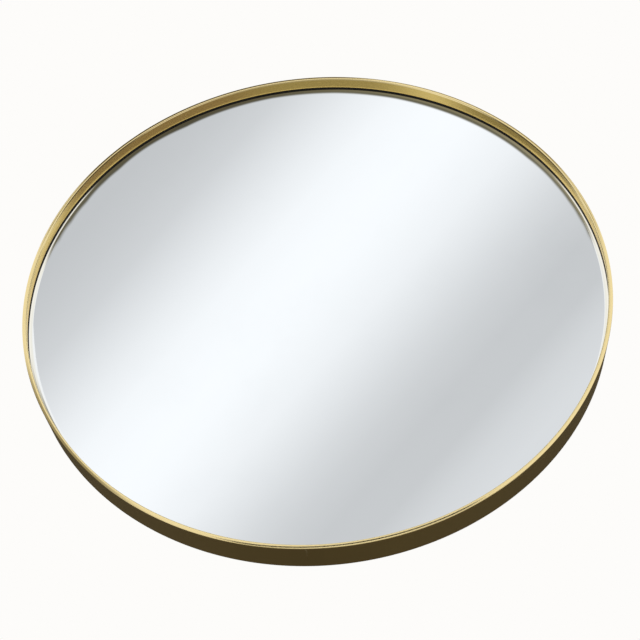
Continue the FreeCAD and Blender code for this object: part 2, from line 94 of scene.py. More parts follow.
class ShaderBench:
    """Adds and joins the nodes of one material, world or node group."""

    def __init__(self, tree: Tree) -> None:
        """Keeps the tree and empties it."""
        self.tree = tree
        self.tree.nodes.clear()

    def add(self, kind: str, feeds: Optional[Mapping[Union[str, int], object]] = None, **settings: object) -> Node:
        """Adds a node.

        Args:
            kind: The node's type without its ShaderNode prefix, or a whole type name.
            feeds: What goes into its inputs, by their names or numbers.
            **settings: Properties to set on the node.

        Returns:
            The new node.
        """
        node = self.tree.nodes.new(kind if kind.startswith("NodeGroup") else f"ShaderNode{kind}")
        for name, value in settings.items():
            setattr(node, name, value)
        for key, value in (feeds or {}).items():
            self.feed(value, node.inputs[key])
        return node

    def feed(self, value: object, socket: Socket) -> None:
        """Links a socket to an input, or sets a number, a vector or a colour on it.

        Args:
            value: What goes in.
            socket: The input.
        """
        if isinstance(value, bpy.types.NodeSocket):
            self.tree.links.new(value, socket)
        elif socket.type == "RGBA":
            socket.default_value = (*value, 1.0)
        else:
            socket.default_value = value

    def end(self, shader: Node, kind: str = "OutputMaterial") -> None:
        """Joins the last shader to the output."""
        self.add(kind, {"Surface": shader.outputs[0]})

    def place(self) -> Socket:
        """Gives the Object coordinates."""
        return self.add("TexCoord").outputs["Object"]

    def split(self, vector: Socket) -> tuple[Socket, ...]:
        """Takes a vector apart into x, y and z."""
        return tuple(self.add("SeparateXYZ", {0: vector}).outputs)

    def gather(self, *values: Socket) -> Socket:
        """Puts x, y and z together to a vector."""
        return self.add("CombineXYZ", dict(enumerate(values))).outputs[0]

    def maths(self, operation: str, *values: object) -> Socket:
        """Adds a Math node that works on up to three sockets or numbers."""
        return self.add("Math", dict(enumerate(values)), operation=operation).outputs[0]

    def product(self, first: object, *others: object) -> Socket:
        """Multiplies sockets or numbers.

        Args:
            first: The first of them.
            *others: The others, multiplied in turn.

        Returns:
            The product.
        """
        for other in others:
            first = self.maths("MULTIPLY", first, other)
        return first

    def blend(self, value: Socket, factor: object, base: object) -> Socket:
        """Adds a value times a factor to a base."""
        return self.maths("MULTIPLY_ADD", value, factor, base)

    def without(self, value: Socket) -> Socket:
        """Takes a value from one."""
        return self.maths("SUBTRACT", 1.0, value)

    def rise(self, value: Socket, low: object, high: object) -> Socket:
        """Adds a soft step that is 0 up to the low value and 1 from the high one."""
        feeds = {"Value": value, "From Min": low, "From Max": high}
        return self.add("MapRange", feeds, interpolation_type="SMOOTHSTEP").outputs["Result"]

    def past(self, value: Socket, edge: Socket, softness: float) -> Socket:
        """Adds a soft step up where a value passes an edge."""
        return self.rise(self.maths("SUBTRACT", value, edge), -softness, softness)

    def band(self, value: Socket, start: Span, end: Span) -> Socket:
        """Adds a soft step up and another one down again."""
        return self.product(self.rise(value, *start), self.without(self.rise(value, *end)))

    def noise(self, place: Socket, scale: object, detail: float, rough: float = 0.55) -> Socket:
        """Adds a noise texture with so many octaves, the finer ones so strong."""
        feeds = {"Vector": place, "Scale": scale, "Detail": detail, "Roughness": rough}
        return self.add("TexNoise", feeds).outputs["Fac"]

    def ramp(self, value: Socket, stops: Sequence[tuple[float, object]]) -> Socket:
        """Adds a colour ramp.

        Args:
            value: What runs along the ramp, from 0 to 1.
            stops: Places, each with a colour or with one number for all three channels.

        Returns:
            The ramp's colour.
        """
        node = self.add("ValToRGB", {"Fac": value})
        elements = node.color_ramp.elements
        while len(elements) < len(stops):
            elements.new(0.5)
        for element, (place, level) in zip(elements, stops):
            element.position = place
            element.color = (*(level if isinstance(level, tuple) else (level,) * 3), 1.0)
        return node.outputs["Color"]

    def graph(self, value: Socket, points: Sequence[tuple[float, object]], scale: float) -> Socket:
        """Looks up a value in a ramp whose points, times the scale, lie between -0.5 and 0.5."""
        stops = [(place * scale + 0.5, level) for place, level in points]
        return self.ramp(self.blend(value, scale, 0.5), stops)

    def mix(self, share: Socket, low: object, high: object) -> Socket:
        """Mixes two colours.

        Args:
            share: How much of the second colour.
            low: A colour, or a socket.
            high: A colour, or a socket.

        Returns:
            The mixed colour.
        """
        node = self.add("Mix", {"Factor": share}, data_type="RGBA")
        for value, socket in zip((low, high), [item for item in node.inputs if item.type == "RGBA"]):
            self.feed(value, socket)
        return next(item for item in node.outputs if item.type == "RGBA")


class EffectLibrary:
    """Node groups that several finishes share, each built once."""

    def __init__(self) -> None:
        """Builds the groups."""
        self.polar = self._round_the_hoop()
        self.lines = self._brushed_lines()
        self.speckle = self._fine_speckle()
        self.smudge = self._handling_marks()

    def _start(self, name: str, inputs: dict[str, float], *outputs: str) -> tuple[ShaderBench, Mapping[str, Socket]]:
        """Starts a node group that reads a place.

        Args:
            name: The group's name.
            inputs: Number inputs and their values, which follow the Place.
            *outputs: Names of the outputs, numbers but for Place.

        Returns:
            The group's bench, and what is put into the group, by name.
        """
        tree = bpy.data.node_groups.new(name, "ShaderNodeTree")
        tree.interface.new_socket("Place", in_out="INPUT", socket_type="NodeSocketVector")
        for label, value in inputs.items():
            socket = tree.interface.new_socket(label, in_out="INPUT", socket_type="NodeSocketFloat")
            socket.default_value = value
        for label in outputs:
            kind = "NodeSocketVector" if label == "Place" else "NodeSocketFloat"
            tree.interface.new_socket(label, in_out="OUTPUT", socket_type=kind)
        bench = ShaderBench(tree)
        return bench, bench.add("NodeGroupInput").outputs

    def _round_the_hoop(self) -> Tree:
        """Turns a place into radius, depth and length round the hoop, cut at the lowest point, at the seam.

        Returns:
            The group.
        """
        bench, given = self._start("place_round_the_hoop", {"Hoop Radius": Hoop.outer}, "Place")
        x, depth, z = bench.split(given["Place"])
        radius = bench.maths("SQRT", bench.blend(x, x, bench.product(z, z)))
        along = bench.product(bench.maths("ARCTAN2", x, z), given["Hoop Radius"])
        bench.add("NodeGroupOutput", {"Place": bench.gather(radius, depth, along)})
        return bench.tree

    def _brushed_lines(self) -> Tree:
        """Draws fine lines that run along the third axis of the place, and slow clouds between them.

        Returns:
            The group.
        """
        inputs = {"Scale": 4000.0, "Run": 0.02, "Cloud Scale": 9.0}
        bench, given = self._start("brushed_lines", inputs, "Lines", "Cloud")
        x, y, z = bench.split(given["Place"])
        drawn_out = bench.gather(x, y, bench.product(z, given["Run"]))
        lines = bench.noise(drawn_out, given["Scale"], 3.0, 0.7)
        cloud = bench.noise(given["Place"], given["Cloud Scale"], 2.0)
        bench.add("NodeGroupOutput", {"Lines": lines, "Cloud": cloud})
        return bench.tree

    def _fine_speckle(self) -> Tree:
        """Draws the grains of a moulded or pressed surface, with a coarser mottle under them.

        Returns:
            The group.
        """
        bench, given = self._start("fine_speckle", {"Scale": 1500.0, "Mottle Scale": 60.0}, "Grain", "Mottle")
        grain = bench.noise(given["Place"], given["Scale"], 4.0, 0.65)
        mottle = bench.noise(given["Place"], given["Mottle Scale"], 3.0)
        bench.add("NodeGroupOutput", {"Grain": grain, "Mottle": mottle})
        return bench.tree

    def _handling_marks(self) -> Tree:
        """Draws soft scattered patches where hands and cloths leave a trace.

        Returns:
            The group.
        """
        bench, given = self._start("handling_marks", {"Scale": 14.0, "Spread": 0.5}, "Marks")
        wide = bench.noise(given["Place"], given["Scale"], 4.0, 0.6)
        bench.add("NodeGroupOutput", {"Marks": bench.rise(wide, given["Spread"], 0.85)})
        return bench.tree


class Surface(ShaderBench):
    """The bench of one material with a Principled shader."""

    def __init__(self, tree: Tree, effects: Optional[EffectLibrary]) -> None:
        """Adds the shader.

        Args:
            tree: The material's tree.
            effects: The shared node groups, where the finish uses them.
        """
        super().__init__(tree)
        self.effects = effects
        self.shader = self.add("BsdfPrincipled")
        self.end(self.shader)

    def set(self, name: str, value: object) -> None:
        """Sets or feeds one of the shader's inputs."""
        self.feed(value, self.shader.inputs[name])

    def effect(self, group: Tree, place: Socket, **values: float) -> Mapping[str, Socket]:
        """Places a shared effect, whose inputs are named with underscores for spaces."""
        feeds = {name.replace("_", " "): value for name, value in values.items()}
        return self.add("Group", {"Place": place, **feeds}, node_tree=group).outputs

    def bump(self, height: Socket, strength: float, distance: float) -> None:
        """Feeds a height to the shader's normal. The distance is how far the full height stands out."""
        feeds = {"Strength": strength, "Distance": distance, "Height": height}
        self.set("Normal", self.add("Bump", feeds).outputs["Normal"])


def new_material(name: str) -> Material:
    """Starts a material.

    Args:
        name: The material's name.

    Returns:
        The material, with nodes.
    """
    material = bpy.data.materials.new(name)
    material.use_nodes = True
    return material


@dataclass(frozen=True)
class Finish:
    """A material's name, and the constants that every finish sets on its shader."""

    name: str
    metallic: float = 0.0
    roughness: float = 0.5
    specular: float = 0.5
    coat: float = 0.0
    coat_roughness: float = 0.1
    tone: Colour = (0.7, 0.7, 0.7)
    deep: Colour = (0.6, 0.6, 0.6)

    def build(self, effects: Optional[EffectLibrary] = None) -> Material:
        """Makes the material.

        Args:
            effects: The shared node groups.

        Returns:
            The material.
        """
        material = new_material(self.name)
        surface = Surface(material.node_tree, effects)
        surface.set("Metallic", self.metallic)
        surface.set("Roughness", self.roughness)
        surface.set("Specular IOR Level", self.specular)
        surface.set("Coat Weight", self.coat)
        surface.set("Coat Roughness", self.coat_roughness)
        self.dress(surface)
        return material

    def dress(self, surface: Surface) -> None:
        """Adds the finish's own colour and detail to its surface."""
        raise NotImplementedError


@dataclass(frozen=True)
class BrushedMetal(Finish):
    """Metal brushed one way, with a slow change of tone and roughness along the lines."""

    metallic: float = 1.0
    way: Way = Way.ROUND_THE_HOOP
    line_scale: float = 4000.0
    line_share: float = 0.35
    run: float = 0.02
    cloud_scale: float = 11.0
    rough_change: float = 0.06
    mark_scale: float = 17.0
    mark_spread: float = 0.55
    mark_roughness: float = 0.05
    bump_strength: float = 0.35
    bump_height: float = 0.000004

    def dress(self, surface: Surface) -> None:
        """Adds the lines, the clouds and the marks of handling.

        Args:
            surface: The material's bench.
        """
        effects = surface.effects
        place = surface.place()
        if self.way is Way.ROUND_THE_HOOP:
            place = surface.effect(effects.polar, place)["Place"]
        brushed = surface.effect(effects.lines, place, Scale=self.line_scale, Run=self.run,
                                 Cloud_Scale=self.cloud_scale)
        lines = brushed["Lines"]
        share = surface.blend(lines, self.line_share, surface.product(brushed["Cloud"], 1.0 - self.line_share))
        surface.set("Base Color", surface.mix(share, self.deep, self.tone))
        rough = surface.blend(lines, self.rough_change, self.roughness - self.rough_change / 2)
        marks = surface.effect(effects.smudge, place, Scale=self.mark_scale, Spread=self.mark_spread)["Marks"]
        surface.set("Roughness", surface.blend(marks, self.mark_roughness, rough))
        surface.bump(lines, self.bump_strength, self.bump_height)


@dataclass(frozen=True)
class SilveredGlass(Finish):
    """Silvered glass: a clean reflection with the faintest film of dust and wiping."""

    metallic: float = 1.0
    roughness: float = 0.012
    tone: Colour = (0.90, 0.934, 0.962)
    film: Colour = (0.87, 0.904, 0.932)
    mark_scale: float = 6.0
    mark_roughness: float = 0.012

    def dress(self, surface: Surface) -> None:
        """Adds the film of dust.

        Args:
            surface: The material's bench.
        """
        marks = surface.effect(surface.effects.smudge, surface.place(), Scale=self.mark_scale)["Marks"]
        surface.set("Base Color", surface.mix(marks, self.tone, self.film))
        surface.set("Roughness", surface.blend(marks, self.mark_roughness, self.roughness))


@dataclass(frozen=True)
class Speckled(Finish):
    """A surface of fine grains over a coarser mottle of two tones."""

    grain_scale: float = 2200.0
    mottle_scale: float = 90.0
    rough_change: float = 0.16
    bump_strength: float = 0.4
    bump_height: float = 0.00002

    def colour(self, surface: Surface, place: Socket, mottle: Socket) -> Socket:
        """Mixes the two tones by the mottle."""
        return surface.mix(mottle, self.deep, self.tone)

    def rough(self, surface: Surface, place: Socket, grain: Socket) -> Socket:
        """Roughens the grains."""
        return surface.blend(grain, self.rough_change, self.roughness - self.rough_change / 2)

    def dress(self, surface: Surface) -> None:
        """Adds the grains and the mottle.

        Args:
            surface: The material's bench.
        """
        place = surface.place()
        speckle = surface.effect(surface.effects.speckle, place, Scale=self.grain_scale,
                                 Mottle_Scale=self.mottle_scale)
        surface.set("Base Color", self.colour(surface, place, speckle["Mottle"]))
        surface.set("Roughness", self.rough(surface, place, speckle["Grain"]))
        surface.bump(speckle["Grain"], self.bump_strength, self.bump_height)


@dataclass(frozen=True)
class MouldedRubber(Speckled):
    """Rubber or soft plastic with a fine moulded grain."""


@dataclass(frozen=True)
class PlatedMetal(Speckled):
    """Bright plated steel with fine grains, a faint mottle and a few dull patches."""

    metallic: float = 0.7
    roughness: float = 0.24
    tone: Colour = (0.66, 0.67, 0.68)
    deep: Colour = (0.50, 0.52, 0.55)
    grain_scale: float = 2600.0
    mottle_scale: float = 220.0
    mark_scale: float = 120.0
    mark_roughness: float = 0.18
    bump_strength: float = 0.3
    bump_height: float = 0.00001

    def rough(self, surface: Surface, place: Socket, grain: Socket) -> Socket:
        """Roughens the dull patches."""
        marks = surface.effect(surface.effects.smudge, place, Scale=self.mark_scale)["Marks"]
        return surface.blend(marks, self.mark_roughness, self.roughness)


@dataclass(frozen=True)
class PressedFibre(Speckled):
    """Fibreboard: pressed wood fibres with darker flecks and a dry surface."""

    roughness: float = 0.88
    specular: float = 0.25
    tone: Colour = (0.50, 0.36, 0.23)
    deep: Colour = (0.36, 0.245, 0.15)
    grain_scale: float = 420.0
    mottle_scale: float = 7.0
    rough_change: float = 0.1
    bump_strength: float = 0.5
    bump_height: float = 0.00006
    fleck: Colour = (0.22, 0.14, 0.08)
    fleck_scale: float = 640.0
    fleck_stretch: Corner = (1.0, 1.0, 0.22)
    fleck_turn: float = 0.6
    fleck_edge: Span = (0.58, 0.74)
    fleck_share: float = 0.7

    def colour(self, surface: Surface, place: Socket, mottle: Socket) -> Socket:
        """Lays the flecks over the mottle.

        Args:
            surface: The material's bench.
            place: The Object coordinates.
            mottle: The mottle's value.

        Returns:
            The board's colour.
        """
        board = super().colour(surface, place, mottle)
        feeds = {"Vector": place, "Scale": self.fleck_stretch, "Rotation": (0.0, self.fleck_turn, 0.0)}
        fibres = surface.noise(surface.add("Mapping", feeds).outputs["Vector"], self.fleck_scale, 3.0, 0.5)
        share = surface.product(surface.rise(fibres, *self.fleck_edge), self.fleck_share)
        return surface.mix(share, board, self.fleck)


@dataclass(frozen=True)
class PaintedFloor(Finish):
    """A pale painted floor with a slow change of tone."""

    roughness: float = 0.75
    specular: float = 0.2
    tone: Colour = (0.83, 0.825, 0.815)
    deep: Colour = (0.80, 0.795, 0.785)
    cloud_scale: float = 1.5

    def dress(self, surface: Surface) -> None:
        """Adds the clouds."""
        clouds = surface.noise(surface.place(), self.cloud_scale, 2.0, 0.5)
        surface.set("Base Color", surface.mix(clouds, self.deep, self.tone))


class Look(Enum):
    """The mirror's finishes, by where they are seen. The hoop's lip and inside are lit and shaded copies of one
    gold.
    """

    # painted highlight: the lip's gold is paler and brighter than the rest of the hoop, to stand in for the light
    # that its front catches
    LIP = BrushedMetal("satin_gold_lip_painted_highlight", roughness=0.11, tone=(0.90, 0.75, 0.40), deep=(0.85, 0.69, 0.34),
                       coat=0.12, coat_roughness=0.12, bump_height=0.0000015)
    # painted bounce light: the inside's deeper, more saturated gold stands in for light reflected to and fro in the
    # recess
    INSIDE = BrushedMetal("satin_gold_inside_painted_bounce", roughness=0.24, tone=(0.80, 0.60, 0.20),
                          deep=(0.74, 0.54, 0.17), coat=0.06, coat_roughness=0.2, bump_height=0.0000010)
    OUTSIDE = BrushedMetal("satin_gold_outside", roughness=0.30, tone=(0.80, 0.62, 0.27),
                           deep=(0.73, 0.56, 0.23), coat=0.08, coat_roughness=0.2)
    FLANGE = BrushedMetal("satin_gold_rear", metallic=0.55, roughness=0.42, tone=(0.80, 0.60, 0.28),
                          deep=(0.72, 0.53, 0.23))
    # partly painted shade: this near-black is the gasket's rubber and also stands in for the shade in the gap beside
    # the glass
    RUBBER = MouldedRubber("black_rubber_and_gap_shade", roughness=0.62, specular=0.2, tone=(0.010, 0.009, 0.007),
                           deep=(0.006, 0.005, 0.004))
    GLASS = SilveredGlass("silvered_glass")
    BEVEL = SilveredGlass("silvered_bevel", roughness=0.03, tone=(0.90, 0.92, 0.92), film=(0.87, 0.89, 0.89))
    # painted reflection: the bevel's step and edge are tinted warm to stand in for the gold hoop's reflection, since
    # the hoop is hidden from reflections
    BEVEL_STEP = SilveredGlass("bevel_step", roughness=0.05, tone=(0.86, 0.86, 0.80), film=(0.82, 0.82, 0.76))
    BEVEL_EDGE = SilveredGlass("bevel_edge", roughness=0.05, tone=(0.93, 0.91, 0.83), film=(0.90, 0.87, 0.78))
    FILM = MouldedRubber("grey_film", specular=0.3, tone=(0.14, 0.16, 0.18), deep=(0.11, 0.13, 0.15),
                         grain_scale=900.0)
    BOARD = PressedFibre("fibreboard")
    ZINC = PlatedMetal("bright_zinc")
    SPRING = BrushedMetal("spring_steel", roughness=0.34, tone=(0.40, 0.41, 0.43), deep=(0.30, 0.31, 0.33),
                          way=Way.STRAIGHT, line_scale=3000.0, run=0.05)
    BUMPER = MouldedRubber("soft_grey_rubber", roughness=0.45, specular=0.4, tone=(0.66, 0.66, 0.64),
                           deep=(0.58, 0.58, 0.57), bump_height=0.00001)


Rack = dict[Look, Material]


def put_in_scene(name: str, bm: bmesh.types.BMesh, materials: Iterable[Material]) -> Object:
    """Turns a mesh in the making into an object.

    Args:
        name: The object's name.
        bm: Its mesh, freed here.
        materials: Its materials, in the order of the faces' numbers.

    Returns:
        The object.
    """
    mesh = bpy.data.meshes.new(name)
    bm.to_mesh(mesh)
    bm.free()
    for material in materials:
        mesh.materials.append(material)
    made = bpy.data.objects.new(name, mesh)
    bpy.context.scene.collection.objects.link(made)
    return made


class PieceBench:
    """Shapes a mesh and turns it into a finished piece of the mirror."""

    def __init__(self) -> None:
        """Starts an empty mesh."""
        self.bm = bmesh.new()

    def section(self, corners: Sequence[Corner], steps: int = 6) -> None:
        """Draws a closed half section in the XY plane.

        Args:
            corners: Radius, place along Y, and the radius of the round on each corner.
            steps: Segments of each round.
        """
        verts = [self.bm.verts.new((x, y, 0.0)) for x, y, _ in corners]
        self.bm.faces.new(verts)
        for vert, (_, _, rounding) in zip(verts, corners):
            if rounding > 0.0:
                self.round_corners([vert], rounding, steps)

    def round_corners(self, verts: Sequence[bmesh.types.BMVert], rounding: float, steps: int) -> None:
        """Rounds corners of a flat face."""
        bmesh.ops.bevel(self.bm, geom=list(verts), offset=rounding, offset_type="OFFSET", segments=steps,
                        profile=0.5, affect="VERTICES", material=-1, clamp_overlap=False)

    def line(self, points: Iterable[Span]) -> None:
        """Draws an open line in the XY plane.

        Args:
            points: Radius and place along Y of each point.
        """
        verts = [self.bm.verts.new((x, y, 0.0)) for x, y in points]
        for first, last in zip(verts, verts[1:]):
            self.bm.edges.new((first, last))

    def spin_full(self, steps: int) -> None:
        """Turns the outline all the way round Y.

        Args:
            steps: Segments of the turn.
        """
        bmesh.ops.delete(self.bm, geom=self.bm.faces[:], context="FACES_ONLY")
        bmesh.ops.spin(self.bm, geom=self.bm.verts[:] + self.bm.edges[:], cent=ORIGIN, axis=Y_AXIS,
                       angle=FULL_TURN, steps=steps, use_merge=True)
        self.merge()

    def spin_part(self, angle: float, steps: int, centre: Vector = ORIGIN, axis: Vector = Y_AXIS) -> None:
        """Turns the section through an angle, centred on where it stands, with both ends closed.

        Args:
            angle: The whole angle, in radians.
            steps: Segments of the turn.
            centre: A point on the axis.
            axis: The axis.
        """
        self.turn(-angle / 2.0, axis, centre)
        bmesh.ops.spin(self.bm, geom=self.bm.verts[:] + self.bm.edges[:] + self.bm.faces[:], cent=centre,
                       axis=axis, angle=angle, steps=steps, use_merge=False)

    def close_holes(self) -> None:
        """Fills every open loop with one flat face."""
        rims = [edge for edge in self.bm.edges if edge.is_boundary]
        bmesh.ops.holes_fill(self.bm, edges=rims, sides=0)

    def merge(self, distance: float = SAME) -> None:
        """Makes vertices that lie on each other one."""
        bmesh.ops.remove_doubles(self.bm, verts=self.bm.verts[:], dist=distance)

    def move(self, shift: Vector, verts: Optional[Sequence[bmesh.types.BMVert]] = None) -> None:
        """Moves some vertices, or all."""
        bmesh.ops.translate(self.bm, verts=list(verts) if verts else self.bm.verts[:], vec=shift)

    def turn(self, angle: float, axis: Vector = Y_AXIS, centre: Vector = ORIGIN) -> None:
        """Turns the whole mesh about an axis."""
        bmesh.ops.rotate(self.bm, verts=self.bm.verts[:], cent=centre, matrix=Matrix.Rotation(angle, 3, axis))

    def finish(self, name: str, replaces: Sequence[str], materials: Iterable[Material],
               body: Body = Body.MIRROR, sharp: float = 32.0) -> Object:
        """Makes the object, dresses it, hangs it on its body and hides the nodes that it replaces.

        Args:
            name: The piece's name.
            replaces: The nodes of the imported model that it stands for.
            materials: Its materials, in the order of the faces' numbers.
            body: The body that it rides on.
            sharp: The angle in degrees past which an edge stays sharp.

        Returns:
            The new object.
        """
        bmesh.ops.recalc_face_normals(self.bm, faces=self.bm.faces[:])
        piece = put_in_scene(name, self.bm, materials)
        mesh = piece.data
        mesh.polygons.foreach_set("use_smooth", [True] * len(mesh.polygons))
        mesh.set_sharp_from_angle(angle=math.radians(sharp))
        normals = piece.modifiers.new("EvenNormals", "WEIGHTED_NORMAL")
        normals.mode = "FACE_AREA"
        normals.keep_sharp = True
        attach(piece, body.value)
        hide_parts(*replaces)
        LOG.info("%s: %d faces", name, len(mesh.polygons))
        return piece


@dataclass(frozen=True)
class Hoop:
    """The frame hoop and the plate that closes its seam."""

    outer: float = 0.305
    front: float = -0.040
    rear: float = -0.002
    wall: float = 0.0013
    # the lip's front is crowned: a ridge, and a fall from there to the outer edge
    lip_width: float = 0.0043
    lip_depth: float = 0.0026
    lip_crown: float = 0.000448
    lip_ridge: float = 0.0019
    lip_outer_round: float = 0.0005
    lip_inner_round: float = 0.0016
    lip_root_round: float = 0.0006
    ridge_depth: float = 0.000147
    ridge_round: float = 0.0008
    stop_front: float = -0.0239
    stop_width: float = 0.0002
    stop_thickness: float = 0.0010
    rear_round: float = 0.0007
    flange_width: float = 0.0080
    flange_thickness: float = 0.0014
    flange_round: float = 0.00025
    region_slack: float = 0.0002
    seam_gap: float = 0.00004
    steps: int = 480
    splice_clearance: float = 0.0003
    splice_width: float = 0.006
    splice_thickness: float = 0.003
    splice_round: float = 0.0004
    splice_angle: float = math.radians(18.0)
    splice_steps: int = 40

    @property
    def inner(self) -> float:
        """Radius of the wall's inside."""
        return self.outer - self.wall

    @property
    def flange_front(self) -> float:
        """Place of the rear flange's front face along Y."""
        return self.rear - self.flange_thickness

    def corners(self) -> list[Corner]:
        """Gives the section's corners, outside first.

        Returns:
            Radius, place along Y and round of each corner.
        """
        lip = self.outer - self.lip_width
        lip_back = self.front + self.lip_depth
        stop = self.inner - self.stop_width
        stop_back = self.stop_front + self.stop_thickness
        flange = self.inner - self.flange_width
        return [
            (self.outer, self.front + self.lip_crown, self.lip_outer_round),
            (self.outer - self.lip_ridge, self.front + self.ridge_depth, self.ridge_round),
            (lip, self.front, self.lip_inner_round),
            (lip, lip_back, 0.0),
            (self.inner, lip_back, self.lip_root_round),
            (self.inner, self.stop_front, 0.0),
            (stop, self.stop_front, 0.0),
            (stop, stop_back, 0.0),
            (self.inner, stop_back, 0.0),
            (self.inner, self.flange_front, 0.0),
            (flange, self.flange_front, self.flange_round),
            (flange, self.rear, self.flange_round),
            (self.outer, self.rear, self.rear_round),
        ]

    def mark_regions(self, bench: PieceBench) -> None:
        """Numbers the faces: 0 the lip, 1 the inside, 2 the outside, 3 the rear flange.

        Args:
            bench: The bench that holds the hoop.
        """
        for face in bench.bm.faces:
            middle = face.calc_center_median()
            radius = math.hypot(middle.x, middle.z)
            outside = radius > self.inner + self.wall / 2.0
            reach = self.lip_outer_round if outside else self.lip_inner_round
            if middle.y < self.front + reach + self.region_slack:
                face.material_index = 0
            elif middle.y > self.flange_front - self.region_slack and radius < self.outer - self.rear_round:
                face.material_index = 3
            else:
                face.material_index = 2 if outside else 1

    def build(self, rack: Rack) -> None:
        """Makes the hoop, open by a hair at its lowest point, and the plate behind that seam.

        Args:
            rack: The finishes.
        """
        bench = PieceBench()
        bench.section(self.corners())
        bench.turn(-QUARTER_TURN)
        bench.spin_part(FULL_TURN - self.seam_gap / self.outer, self.steps)
        self.mark_regions(bench)
        looks = [rack[look] for look in (Look.LIP, Look.INSIDE, Look.OUTSIDE, Look.FLANGE)]
        hoop = bench.finish("frame_hoop", ["frame_ring"], looks)
        # its mirror image would hide the bright line of the bevel
        hoop.visible_glossy = False
        self.build_splice(rack)

    def build_splice(self, rack: Rack) -> None:
        """Makes the plate across the seam.

        Args:
            rack: The finishes.
        """
        outer = self.inner - self.splice_clearance
        inner = outer - self.splice_width
        back = self.flange_front
        front = back - self.splice_thickness
        bench = PieceBench()
        bench.section([(inner, front, self.splice_round), (outer, front, self.splice_round),
                       (outer, back, 0.0), (inner, back, 0.0)], 3)
        bench.turn(QUARTER_TURN)
        bench.spin_part(self.splice_angle, self.splice_steps)
        bench.finish("splice_bar", ["splice_plate"], [rack[Look.ZINC]])


@dataclass(frozen=True)
class GlassPack:
    """The gasket, the bevelled glass and the board behind it."""

    front: float = -0.0214
    back: float = -0.0174
    # radius and fall of each ring of the bevel, which is ground in three passes
    bevel_rings: tuple[Span, ...] = ((0.2988, 0.0), (0.2996, 0.00003), (0.3014, 0.00045), (0.3032, 0.00070))
    back_slack: float = 0.0001
    gasket_front: float = -0.0244
    gasket_outer: float = 0.3036
    gasket_inner: float = 0.3033
    gasket_round: float = 0.0001
    board_front: float = -0.0172
    board_back: float = -0.0097
    board_radius: float = 0.3030
    board_chamfer: float = 0.0008
    board_steps: int = 192
    steps: int = 480

    def build(self, rack: Rack) -> None:
        """Makes the gasket, the glass and the board.

        Args:
            rack: The finishes.
        """
        self.build_gasket(rack)
        self.build_glass(rack)
        self.build_board(rack)

    def build_gasket(self, rack: Rack) -> None:
        """Makes the black strip between the glass stop and the glass. It is partly the gasket's own black rubber and
        partly painted shade of the gap beside the glass.

        Args:
            rack: The finishes.
        """
        bench = PieceBench()
        bench.section([
            (self.gasket_inner, self.gasket_front, self.gasket_round),
            (self.gasket_outer, self.gasket_front, self.gasket_round),
            (self.gasket_outer, self.back, 0.0),
            (self.gasket_inner, self.back, 0.0),
        ], 3)
        bench.spin_full(self.steps)
        strip = bench.finish("gasket_strip_and_gap_shade", ["edge_gasket"], [rack[Look.RUBBER]])
        strip.visible_glossy = False

    def build_glass(self, rack: Rack) -> None:
        """Makes the glass: a flat face with a narrow bevel.

        Args:
            rack: The finishes.
        """
        outer = self.bevel_rings[-1][0]
        bench = PieceBench()
        bench.line([*((radius, self.front + fall) for radius, fall in self.bevel_rings), (outer, self.back)])
        bench.spin_full(self.steps)
        bench.close_holes()
        for face in bench.bm.faces:
            middle = face.calc_center_median()
            radius = math.hypot(middle.x, middle.z)
            if middle.y < self.back - self.back_slack:
                face.material_index = sum(radius > ring for ring, _ in self.bevel_rings[:-1])
        looks = [rack[look] for look in (Look.GLASS, Look.BEVEL, Look.BEVEL_STEP, Look.BEVEL_EDGE)]
        bench.finish("bevelled_glass", ["mirror_glass"], looks, sharp=3.0)

    def build_board(self, rack: Rack) -> None:
        """Makes the board, with its rear edge chamfered.

        Args:
            rack: The finishes.
        """
        bench = PieceBench()
        bench.line([
            (self.board_radius, self.board_front),
            (self.board_radius, self.board_back - self.board_chamfer),
            (self.board_radius - self.board_chamfer, self.board_back),
        ])
        bench.spin_full(self.board_steps)
        bench.close_holes()
        bench.finish("fibre_board", ["backing_board"], [rack[Look.BOARD]])


@dataclass(frozen=True)
class SpringSet:
    """Bowed leaf springs between the board and the rear flange."""

    count: int = 8
    first_angle: float = math.radians(22.5)
    place_radius: float = 0.2997
    rise: float = 0.00575
    thickness: float = 0.0005
    length: float = 0.034
    width: float = 0.0064
    steps: int = 28

    def build(self, rack: Rack) -> None:
        """Makes the springs.

        Args:
            rack: The finishes.
        """
        half = self.length / 2.0
        radius = (half * half + self.rise * self.rise) / (2.0 * self.rise)
        centre = Vector((0.0, self.rise - radius, 0.0))
        low, high = centre.y + radius, centre.y + radius + self.thickness
        side = self.width / 2.0
        outline = ((0.0, low, -side), (0.0, high, -side), (0.0, high, side), (0.0, low, side))
        for index in range(self.count):
            bench = PieceBench()
            bench.bm.faces.new([bench.bm.verts.new(place) for place in outline])
            bench.spin_part(2.0 * math.asin(half / radius), self.steps, centre, Z_AXIS)
            bench.move(Vector((0.0, GlassPack.board_back, self.place_radius)))
            bench.turn(QUARTER_TURN - (self.first_angle + index * FULL_TURN / self.count))
            number = index + 1
            bench.finish(f"leaf_spring_{number}", [f"spring_clip_{number}"], [rack[Look.SPRING]])


class Side(Enum):
    """The two hangers: which way each stands from the middle, and its ring's body."""

    LEFT = (-1.0, Body.RING_LEFT)
    RIGHT = (1.0, Body.RING_RIGHT)


